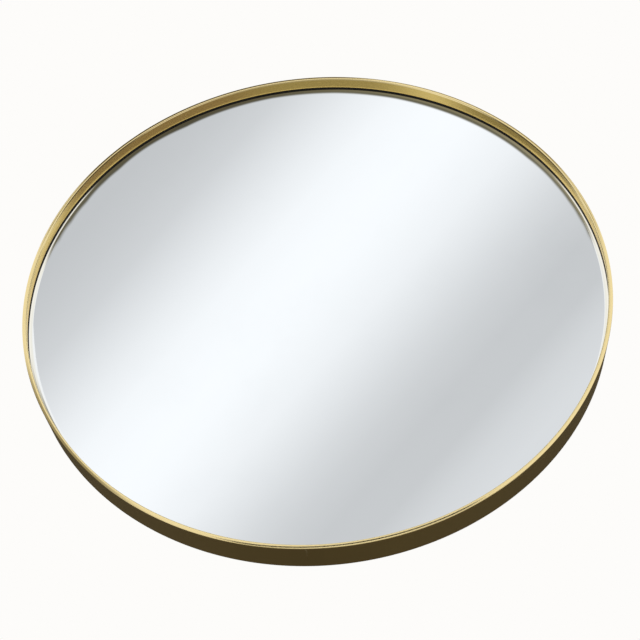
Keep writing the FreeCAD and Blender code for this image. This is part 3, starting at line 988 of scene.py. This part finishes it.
@dataclass(frozen=True)
class HangerPair:
    """The straps with their rolled eyes, and the rings that hang in them."""

    spread: float = 0.200
    height: float = 0.120
    strap_width: float = 0.010
    strap_length: float = 0.036
    strap_thickness: float = 0.0012
    end_round: float = 0.0046
    end_steps: int = 10
    eye_hole: float = 0.00155
    eye_turn: float = math.radians(304.0)
    eye_steps: int = 30
    wire: float = 0.0025
    wire_steps: int = 20
    ring_inner: float = 0.023
    ring_corner: float = 0.0034
    ring_side: float = 0.0045
    corner_steps: int = 10
    bow_steps: int = 36
    ring_merge: float = 1e-6

    def build(self, rack: Rack) -> None:
        """Makes both hangers.

        Args:
            rack: The finishes.
        """
        for side in Side:
            self.build_strap(side, rack)
            self.build_ring(side, rack)

    def build_strap(self, side: Side, rack: Rack) -> None:
        """Makes one strap: a plate with a rounded end, rolled into an eye at its top.

        Args:
            side: The hanger's side.
            rack: The finishes.
        """
        bench = PieceBench()
        bm = bench.bm
        half = self.strap_width / 2.0
        outline = ((-half, -self.strap_length), (half, -self.strap_length), (half, 0.0), (-half, 0.0))
        verts = [bm.verts.new((x, 0.0, z)) for x, z in outline]
        bm.faces.new(verts)
        bench.round_corners(verts[:2], self.end_round, self.end_steps)
        made = bmesh.ops.extrude_face_region(bm, geom=bm.faces[:])["geom"]
        raised = [item for item in made if isinstance(item, bmesh.types.BMVert)]
        bench.move(Vector((0.0, self.strap_thickness, 0.0)), raised)
        top = [face for face in bm.faces if all(abs(vert.co.z) < SAME for vert in face.verts)]
        edges = {edge for face in top for edge in face.edges}
        points = {vert for face in top for vert in face.verts}
        eye = Vector((0.0, self.eye_hole + self.strap_thickness, 0.0))
        bmesh.ops.spin(bm, geom=top + list(edges) + list(points), cent=eye, axis=X_AXIS,
                       angle=-self.eye_turn, steps=self.eye_steps, use_merge=False)
        bench.merge()
        way, _ = side.value
        label = side.name.lower()
        bench.move(Vector((way * self.spread, GlassPack.board_back, self.height)))
        bench.finish(f"hanger_strap_{label}", [f"strap_{label}"], [rack[Look.ZINC]])

    def build_ring(self, side: Side, rack: Rack) -> None:
        """Bends one ring from round wire.

        Args:
            side: The hanger's side.
            rack: The finishes.
        """
        half = (self.ring_inner + self.wire) / 2.0
        bar = half - self.ring_corner
        bow = self.ring_corner + self.ring_side
        bench = PieceBench()
        bm = bench.bm
        bmesh.ops.create_circle(bm, cap_ends=False, segments=self.wire_steps, radius=self.wire / 2.0)
        bench.turn(QUARTER_TURN)
        # where each bend starts, its centre, its angle and its steps
        bends = (
            ((bar, 0.0, 0.0), (bar, 0.0, -self.ring_corner), QUARTER_TURN, self.corner_steps),
            ((half, 0.0, -bow), (0.0, 0.0, -bow), math.pi, self.bow_steps),
            ((-half, 0.0, -self.ring_corner), (-bar, 0.0, -self.ring_corner), QUARTER_TURN, self.corner_steps),
        )
        here = ORIGIN
        edges = bm.edges[:]
        for start, centre, angle, steps in bends:
            edges = self.draw(bm, edges, Vector(start) - here)
            points = {vert for edge in edges for vert in edge.verts}
            made = bmesh.ops.spin(bm, geom=edges + list(points), cent=centre, axis=Y_AXIS, angle=angle,
                                  steps=steps, use_merge=False)
            edges = [item for item in made["geom_last"] if isinstance(item, bmesh.types.BMEdge)]
            here = Vector(centre) + Matrix.Rotation(angle, 3, Y_AXIS) @ (Vector(start) - Vector(centre))
        self.draw(bm, edges, -here)
        bench.merge(self.ring_merge)
        way, body = side.value
        label = side.name.lower()
        eye = GlassPack.board_back + self.eye_hole + self.strap_thickness
        bench.move(Vector((way * self.spread, eye, self.height)))
        bench.finish(f"wire_ring_{label}", [f"hanger_ring_{label}"], [rack[Look.ZINC]], body)

    def draw(self, bm: bmesh.types.BMesh, edges: Sequence[bmesh.types.BMEdge],
             shift: Vector) -> list[bmesh.types.BMEdge]:
        """Draws the wire's open end out along a straight.

        Args:
            bm: The mesh.
            edges: The open end's edges.
            shift: Which way and how far.

        Returns:
            The new open end's edges.
        """
        made = bmesh.ops.extrude_edge_only(bm, edges=list(edges))["geom"]
        moved = [item for item in made if isinstance(item, bmesh.types.BMVert)]
        bmesh.ops.translate(bm, verts=moved, vec=shift)
        drawn = [item for item in made if isinstance(item, bmesh.types.BMEdge)]
        return [edge for edge in drawn if set(edge.verts) <= set(moved)]


@dataclass(frozen=True)
class BumperSet:
    """Soft buttons on the rear flange."""

    count: int = 4
    first_angle: float = math.pi / 4.0
    place_radius: float = 0.2997
    radius: float = 0.0035
    height: float = 0.002
    edge: float = 0.0008
    steps: int = 48
    edge_steps: int = 5

    def build(self, rack: Rack) -> None:
        """Makes the bumpers.

        Args:
            rack: The finishes.
        """
        for index in range(self.count):
            bench = PieceBench()
            bm = bench.bm
            bmesh.ops.create_cone(bm, cap_ends=True, segments=self.steps, radius1=self.radius,
                                  radius2=self.radius, depth=self.height)
            rim = [edge for edge in bm.edges if all(vert.co.z > 0.0 for vert in edge.verts)]
            bmesh.ops.bevel(bm, geom=rim, offset=self.edge, offset_type="OFFSET", segments=self.edge_steps,
                            profile=0.5, affect="EDGES", material=-1, clamp_overlap=True)
            bench.turn(-QUARTER_TURN, X_AXIS)
            angle = self.first_angle + index * FULL_TURN / self.count
            across, up = self.place_radius * math.cos(angle), self.place_radius * math.sin(angle)
            bench.move(Vector((across, -self.height / 2.0, up)))
            number = index + 1
            bench.finish(f"wall_button_{number}", [f"bumper_{number}"], [rack[Look.BUMPER]])


@dataclass(frozen=True)
class CarriedNodes:
    """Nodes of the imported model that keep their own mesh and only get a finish."""

    nodes: dict[str, Object]
    looks: tuple[tuple[str, Look], ...] = (
        ("splice_screws", Look.ZINC), ("hanger_screws", Look.ZINC), ("safety_film", Look.FILM))

    def build(self, rack: Rack) -> None:
        """Gives the screws and the film their finishes.

        Args:
            rack: The finishes.
        """
        for name, look in self.looks:
            mesh = self.nodes[name].data
            mesh.materials.clear()
            mesh.materials.append(rack[look])
            LOG.info("%s: finish %s", name, rack[look].name)


def stand(right: Vector, up: Vector, facing: Vector, place: Vector) -> Matrix:
    """Gives the matrix of something that stands on three axes of its own.

    Args:
        right: Its x.
        up: Its y.
        facing: Its z.
        place: Its origin.

    Returns:
        The matrix.
    """
    axes = Matrix((right, up, facing)).transposed().to_4x4()
    axes.translation = place
    return axes


def reflected_only(name: str, bm: bmesh.types.BMesh, material: Material) -> Object:
    """Makes a stage object that only reflections see.

    Args:
        name: The object's name.
        bm: Its mesh, freed here.
        material: Its finish.

    Returns:
        The object.
    """
    card = put_in_scene(name, bm, [material])
    card.visible_camera = False
    card.visible_diffuse = False
    card.visible_shadow = False
    card.visible_transmission = False
    card.visible_volume_scatter = False
    return card


@dataclass(frozen=True)
class Card:
    """A flat studio card that only reflections see."""

    name: str
    place: Vector
    right: Vector
    up: Vector
    half_width: float
    half_height: float

    def outline(self, bm: bmesh.types.BMesh) -> None:
        """Draws a rectangle, one unit from its middle each way."""
        bmesh.ops.create_grid(bm, x_segments=1, y_segments=1, size=1.0)

    def build(self, material: Material) -> None:
        """Makes the card.

        Args:
            material: The card's finish.
        """
        bm = bmesh.new()
        self.outline(bm)
        bmesh.ops.scale(bm, verts=bm.verts[:], vec=Vector((self.half_width, self.half_height, 1.0)))
        card = reflected_only(self.name, bm, material)
        card.matrix_world = stand(self.right, self.up, self.right.cross(self.up), self.place)


@dataclass(frozen=True)
class RoundCard(Card):
    """A round card with its upper half drawn out."""

    upper_stretch: float = 1.0
    steps: int = 128

    def outline(self, bm: bmesh.types.BMesh) -> None:
        """Draws a circle and stretches its upper half.

        Args:
            bm: The card's mesh.
        """
        bmesh.ops.create_circle(bm, cap_ends=True, segments=self.steps, radius=1.0)
        upper = [vert for vert in bm.verts if vert.co.y > 0.0]
        bmesh.ops.scale(bm, verts=upper, vec=Vector((1.0, self.upper_stretch, 1.0)))


@dataclass(frozen=True)
class Patch:
    """A soft-edged round patch of the studio tent, by its direction from the mirror, in degrees."""

    side: float
    height: float
    core: float
    edge: float
    colour: Colour

    def direction(self) -> Corner:
        """Gives the patch's direction; side is counted from straight in front towards the right."""
        side, height = math.radians(self.side), math.radians(self.height)
        return (math.sin(side) * math.cos(height), -math.cos(side) * math.cos(height), math.sin(height))

    def spread(self) -> Span:
        """Gives the cosines of the patch's edge and core."""
        return math.cos(math.radians(self.edge)), math.cos(math.radians(self.core))


@dataclass(frozen=True)
class Tent:
    """A wide pale tent round the studio with a few darker patches, seen by reflections only."""

    radius: float = 6.0
    shade: Colour = (0.078, 0.069, 0.052)
    # the dark band round the studio: its direction, its foot and its top, in degrees
    band: tuple[Corner, ...] = (
        (-180.0, -90.0, 37.0), (-160.0, -85.0, 33.0), (-140.0, -60.0, 24.0), (-115.0, -30.0, 18.0),
        (-90.0, -26.0, 17.0), (-66.0, -20.0, 17.0), (-55.0, -16.0, 15.0), (-47.0, -4.0, -8.0),
        (-35.0, -4.0, -12.0), (35.0, -4.0, -12.0), (48.0, -10.0, -14.0), (56.0, -20.0, 12.0),
        (70.0, -28.0, 15.0), (90.0, -28.0, 19.0), (120.0, -30.0, 28.0), (145.0, -60.0, 34.0),
        (165.0, -85.0, 37.0), (180.0, -90.0, 37.0),
    )
    top_softness: float = 0.02
    foot_softness: float = 0.04
    # the ground, then two patches in front on the left and two on the right
    patches: tuple[Patch, ...] = (
        Patch(0.0, -62.0, 24.0, 46.0, (0.43, 0.41, 0.35)),
        Patch(-44.0, -2.0, 12.0, 23.0, (0.34, 0.32, 0.265)),
        Patch(-34.0, 16.0, 6.0, 13.0, (0.34, 0.32, 0.265)),
        Patch(43.0, -4.0, 15.0, 25.0, (0.325, 0.268, 0.25)),
        Patch(38.0, -30.0, 10.0, 24.0, (0.325, 0.268, 0.25)),
    )

    def build(self) -> None:
        """Makes the tent."""
        material = new_material("tent")
        bench = ShaderBench(material.node_tree)
        unit = bench.add("VectorMath", {0: bench.place()}, operation="NORMALIZE").outputs["Vector"]
        x, y, z = bench.split(unit)
        turn = bench.blend(bench.maths("ARCTAN2", x, bench.product(y, -1.0)), 1.0 / FULL_TURN, 0.5)
        height = bench.blend(bench.maths("ARCSINE", z), 1.0 / math.pi, 0.5)
        stops = [((side + 180.0) / 360.0, (foot + 90.0) / 180.0, (top + 90.0) / 180.0)
                 for side, foot, top in self.band]
        feet = bench.ramp(turn, [(place, foot) for place, foot, _ in stops])
        tops = bench.ramp(turn, [(place, top) for place, _, top in stops])
        shaded = bench.product(bench.without(bench.past(height, tops, self.top_softness)),
                               bench.past(height, feet, self.foot_softness))
        colour: object = PAPER_WHITE
        for patch in self.patches:
            match = bench.add("VectorMath", {0: unit, 1: patch.direction()}, operation="DOT_PRODUCT")
            colour = bench.mix(bench.rise(match.outputs["Value"], *patch.spread()), colour, patch.colour)
        bench.end(bench.add("Emission", {"Color": bench.mix(shaded, colour, self.shade)}))
        bm = bmesh.new()
        bmesh.ops.create_icosphere(bm, subdivisions=4, radius=self.radius)
        reflected_only("studio_tent", bm, material)


@dataclass(frozen=True)
class GradedLight:
    """The graded card's light: a white band between two greys, across one slanting line."""

    # picture pixels to a metre of the card, and how far the card leans
    scale: float
    lean: float
    slope: Span = (0.75, 0.66)
    shift: float = 41.0
    start: float = -200.0
    end: float = 280.0
    # greys along the slant, at their distances in pixels from the brightest one
    greys: tuple[Span, ...] = (
        (-200.0, 0.602), (-169.0, 0.641), (-139.0, 0.697), (-109.0, 0.814), (-79.0, 0.924), (-50.0, 1.006),
        (-22.0, 1.04), (0.0, 1.05), (22.0, 1.04), (40.0, 1.013), (70.0, 0.958), (100.0, 0.86), (130.0, 0.754),
        (155.0, 0.685), (185.0, 0.634), (221.0, 0.639), (251.0, 0.7245), (280.0, 0.772),
    )

    def build(self) -> Material:
        """Makes the card's finish.

        Returns:
            The finish.
        """
        material = new_material("graded_card")
        bench = ShaderBench(material.node_tree)
        x, y, _ = bench.split(bench.place())
        side, fall = self.slope
        across = (side * math.cos(self.lean) - fall * math.sin(self.lean)) * self.scale
        down = (-fall * math.cos(self.lean) - side * math.sin(self.lean)) * self.scale
        slant = bench.blend(x, across, bench.blend(y, down, self.shift))
        feeds = {"Value": slant, "From Min": self.start, "From Max": self.end}
        along = bench.add("MapRange", feeds).outputs["Result"]
        stops = [((place - self.start) / (self.end - self.start), grey) for place, grey in self.greys]
        bench.end(bench.add("Emission", {"Color": bench.ramp(along, stops)}))
        return material


@dataclass(frozen=True)
class CrescentFlag:
    """The soft-edged crescent that hangs over the mirror, golden on the right and darker on the left. Its golden
    glow is a painted reflection of the gold hoop in the bevel.

    Its places are metres on the card, x to the right and y towards the wall. Reach is how far a place is
    from the crescent's centre.
    """

    centre: Corner = (-0.031, -0.461, 0.0)
    # the reach of the front edge, at places from left to right
    front_edge: tuple[Span, ...] = (
        (-0.58, 0.548), (-0.55, 0.522), (-0.526, 0.4985), (-0.499, 0.4755), (-0.470, 0.4561),
        (-0.438, 0.4402), (-0.403, 0.4279), (-0.364, 0.4198), (-0.334, 0.4150), (-0.217, 0.4105),
        (-0.084, 0.4183), (0.006, 0.4213), (0.09, 0.4222), (0.20, 0.4195), (0.286, 0.4180), (0.334, 0.4211),
        (0.357, 0.4243), (0.378, 0.4295), (0.396, 0.4367), (0.412, 0.4465), (0.43, 0.475), (0.45, 0.50),
    )
    front_scale: float = 0.8
    front_softness: float = 0.0022
    rear_edge: Span = (0.080, 0.095)
    # a slot along the right half, which lets a bright line through
    slot_drift: float = -0.04
    slot_start: Span = (0.4485, 0.4535)
    slot_end: Span = (0.480, 0.490)
    slot_left: Span = (0.01, 0.09)
    # a second slot at both ends
    end_middle: float = 0.02
    end_drift: float = -0.5
    end_start: Span = (0.285, 0.30)
    end_stop: Span = (0.333, 0.35)
    end_inner: Span = (0.39, 0.46)
    end_depth: float = 0.85
    # the flag's ends, which slant and stand a little further in on the right
    side_middle: float = 0.03
    side_shift: float = 0.04
    side_slant: float = -0.6
    side_step: float = 0.01
    side_step_place: Span = (-0.1, 0.1)
    side_edge: Span = (0.61, 0.77)
    # painted reflection: the golden tints stand in for the gold hoop's reflection in the upper bevel, as the hoop
    # itself is hidden from reflections
    tints: tuple[tuple[float, Colour], ...] = (
        (-0.50, (0.155, 0.14, 0.092)), (-0.37, (0.115, 0.102, 0.066)), (-0.22, (0.092, 0.08, 0.05)),
        (-0.08, (0.12, 0.105, 0.066)), (0.0, (0.16, 0.14, 0.088)), (0.10, (0.22, 0.195, 0.12)),
        (0.24, (0.25, 0.22, 0.14)), (1.0 / 3.0, (0.32, 0.285, 0.19)),
    )
    tint_scale: float = 0.9
    # the front of the right half is dimmer
    dim_reach: Span = (0.46, 0.50)
    dim_place: Span = (0.0, 0.1)
    dim_strength: float = -0.35

    def slots(self, bench: ShaderBench, x: Socket, reach: Socket) -> Socket:
        """Draws the slots.

        Args:
            bench: The finish's bench.
            x: The place to the right.
            reach: The distance from the centre.

        Returns:
            Where the flag is open, from 0 to 1.
        """
        drift = bench.blend(x, self.slot_drift, reach)
        slot = bench.product(bench.band(drift, self.slot_start, self.slot_end), bench.rise(x, *self.slot_left))
        aside = bench.maths("ABSOLUTE", bench.maths("ADD", x, self.end_middle))
        drift = bench.blend(aside, self.end_drift, reach)
        ends = bench.product(bench.band(drift, self.end_start, self.end_stop),
                             bench.rise(aside, *self.end_inner), self.end_depth)
        return bench.maths("MAXIMUM", slot, ends)

    def sides(self, bench: ShaderBench, x: Socket, y: Socket) -> Socket:
        """Draws the flag's ends.

        Args:
            bench: The finish's bench.
            x: The place to the right.
            y: The place towards the wall.

        Returns:
            How dense the flag is, from 0 beyond its ends to 1.
        """
        aside = bench.maths("ABSOLUTE", bench.maths("ADD", x, self.side_middle))
        spread = bench.blend(y, self.side_slant, bench.maths("SUBTRACT", aside, self.side_shift))
        spread = bench.blend(bench.rise(x, *self.side_step_place), self.side_step, spread)
        return bench.without(bench.rise(spread, *self.side_edge))

    def build(self) -> Material:
        """Makes the flag's finish.

        Returns:
            The finish.
        """
        material = new_material("top_flag")
        bench = ShaderBench(material.node_tree)
        place = bench.place()
        x, y, _ = bench.split(place)
        away = bench.add("VectorMath", {0: place, 1: self.centre}, operation="DISTANCE")
        reach = away.outputs["Value"]
        front = bench.past(reach, bench.graph(x, self.front_edge, self.front_scale), self.front_softness)
        rear = bench.without(bench.rise(y, *self.rear_edge))
        closed = bench.without(self.slots(bench, x, reach))
        cover = bench.product(front, rear, self.sides(bench, x, y), closed)
        dim = bench.product(bench.without(bench.rise(reach, *self.dim_reach)), bench.rise(x, *self.dim_place))
        light = bench.add("Emission", {"Color": bench.graph(x, self.tints, self.tint_scale),
                                       "Strength": bench.blend(dim, self.dim_strength, 1.0)})
        clear = bench.add("BsdfTransparent")
        bench.end(bench.add("MixShader", {0: cover, 1: clear.outputs[0], 2: light.outputs[0]}))
        return material


@dataclass(frozen=True)
class Lamp:
    """A soft round lamp that points at the mirror."""

    name: str
    place: Corner
    size: float
    power: float

    def build(self) -> None:
        """Hangs the lamp."""
        data = bpy.data.lights.new(self.name, "AREA")
        data.shape = "DISK"
        data.size = self.size
        data.energy = self.power
        lamp = bpy.data.objects.new(self.name, data)
        lamp.location = self.place
        lamp.rotation_euler = (-Vector(self.place)).to_track_quat("-Z", "Y").to_euler()
        lamp.visible_glossy = False
        bpy.context.scene.collection.objects.link(lamp)


@dataclass(frozen=True)
class Studio:
    """The camera, the pale floor, the lamps and the cards that the metal and the glass reflect."""

    camera_place: Corner = (0.0910, -0.9773, -0.7397)
    camera_right: Corner = (0.9970, 0.0750, 0.0179)
    camera_forward: Corner = (-0.0712, 0.8055, 0.5883)
    focal_pixels: float = 1150.0
    frame_pixels: float = 640.0
    sensor: float = 36.0
    far_limit: float = 50.0
    floor_height: float = -1.6
    floor_radius: float = 9.0
    floor_steps: int = 96
    plain_light: Colour = (0.95, 0.97, 1.0)
    plain_strength: float = 0.55
    # the graded card stands in front of the camera's mirror image; its sizes are picture pixels
    card_distance: float = 3.3
    card_lean: float = math.radians(7.2)
    card_left: float = 0.1
    card_down: float = 2.0
    card_half_width: float = 286.2
    card_half_height: float = 232.0
    card_rise: float = 88.0
    # the front flag, in the same pixels
    front_right: float = 60.0
    front_down: float = 443.0
    front_half_width: float = 230.0
    front_half_height: float = 58.0
    front_lean: float = math.radians(14.0)
    front_colour: Colour = (0.03, 0.027, 0.02)
    top_place: Corner = (0.0, -0.15, 0.48)
    top_half_width: float = 0.72
    top_half_height: float = 0.46
    lamps: tuple[Lamp, ...] = (
        Lamp("key", (-1.6, -2.2, 2.4), 1.6, 70.0),
        Lamp("fill", (2.2, -1.8, 1.0), 1.6, 30.0),
        Lamp("back", (0.6, 2.4, 1.8), 1.8, 45.0),
    )

    def build(self) -> None:
        """Sets the stage."""
        self.build_camera()
        self.build_floor()
        self.build_world()
        Tent().build()
        self.build_cards()
        for lamp in self.lamps:
            lamp.build()
        bpy.context.scene.view_settings.view_transform = "Standard"

    def build_camera(self) -> None:
        """Places the camera where the photograph was taken."""
        data = bpy.data.cameras.new("photo_camera")
        data.sensor_width = self.sensor
        data.lens = self.focal_pixels / self.frame_pixels * self.sensor
        data.clip_end = self.far_limit
        camera = bpy.data.objects.new("photo_camera", data)
        right = Vector(self.camera_right).normalized()
        forward = Vector(self.camera_forward).normalized()
        camera.matrix_world = stand(right, right.cross(forward), -forward, Vector(self.camera_place))
        bpy.context.scene.collection.objects.link(camera)
        bpy.context.scene.camera = camera

    def build_floor(self) -> None:
        """Lays the pale floor."""
        bm = bmesh.new()
        bmesh.ops.create_circle(bm, cap_ends=True, segments=self.floor_steps, radius=self.floor_radius)
        bmesh.ops.translate(bm, verts=bm.verts[:], vec=Z_AXIS * self.floor_height)
        floor = put_in_scene("floor", bm, [PaintedFloor("pale_floor").build()])
        floor.visible_glossy = False

    def build_world(self) -> None:
        """Makes a white surround for the camera and for reflections, and a softer one for plain light."""
        world = bpy.data.worlds.new("studio")
        world.use_nodes = True
        bench = ShaderBench(world.node_tree)
        path = bench.add("LightPath").outputs
        seen = bench.maths("MAXIMUM", path["Is Camera Ray"], path["Is Glossy Ray"])
        seen = bench.maths("MAXIMUM", seen, path["Is Transmission Ray"])
        soft = bench.add("Background", {"Color": self.plain_light, "Strength": self.plain_strength})
        white = bench.add("Background", {"Color": PAPER_WHITE, "Strength": 1.0})
        grounds = {0: seen, 1: soft.outputs[0], 2: white.outputs[0]}
        bench.end(bench.add("MixShader", grounds), "OutputWorld")
        bpy.context.scene.world = world

    def build_cards(self) -> None:
        """Hangs the graded card, and the flags below and above the mirror."""
        across = Vector(self.camera_right).normalized()
        ahead = Vector(self.camera_forward).normalized()
        x, y, z = self.camera_place
        place = Vector((x, 2.0 * GlassPack.front - y, z))
        right = Vector((across.x, -across.y, across.z))
        forward = Vector((ahead.x, -ahead.y, ahead.z))
        up = forward.cross(right)
        middle = place + forward * self.card_distance
        pixel = self.card_distance / self.focal_pixels
        lean = Matrix.Rotation(self.card_lean, 3, forward)
        centre = middle - right * (self.card_left * pixel) - up * (self.card_down * pixel)
        graded = RoundCard("graded_card", centre, lean @ right, lean @ up, self.card_half_width * pixel,
                           self.card_half_height * pixel, 1.0 + self.card_rise / self.card_half_height)
        graded.build(GradedLight(1.0 / pixel, self.card_lean).build())
        below = middle + right * (self.front_right * pixel) - up * (self.front_down * pixel)
        lean = Matrix.Rotation(self.front_lean, 3, forward)
        dark = new_material("front_flag")
        bench = ShaderBench(dark.node_tree)
        bench.end(bench.add("Emission", {"Color": self.front_colour}))
        Card("front_flag", below, lean @ right, lean @ up, self.front_half_width * pixel,
             self.front_half_height * pixel).build(dark)
        Card("top_flag", Vector(self.top_place), X_AXIS, Y_AXIS, self.top_half_width,
             self.top_half_height).build(CrescentFlag().build())


def main() -> None:
    """Builds the mirror and its studio."""
    logging.basicConfig(level=logging.INFO, format="%(name)s: %(message)s")
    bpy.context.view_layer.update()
    effects = EffectLibrary()
    rack = {look: look.value.build(effects) for look in Look}
    carried = CarriedNodes(frame["nodes"])
    for assembly in (Hoop(), GlassPack(), SpringSet(), HangerPair(), BumperSet(), carried):
        LOG.info("building %s", type(assembly).__name__)
        assembly.build(rack)
    Studio().build()


if __name__ == "__main__":
    main()
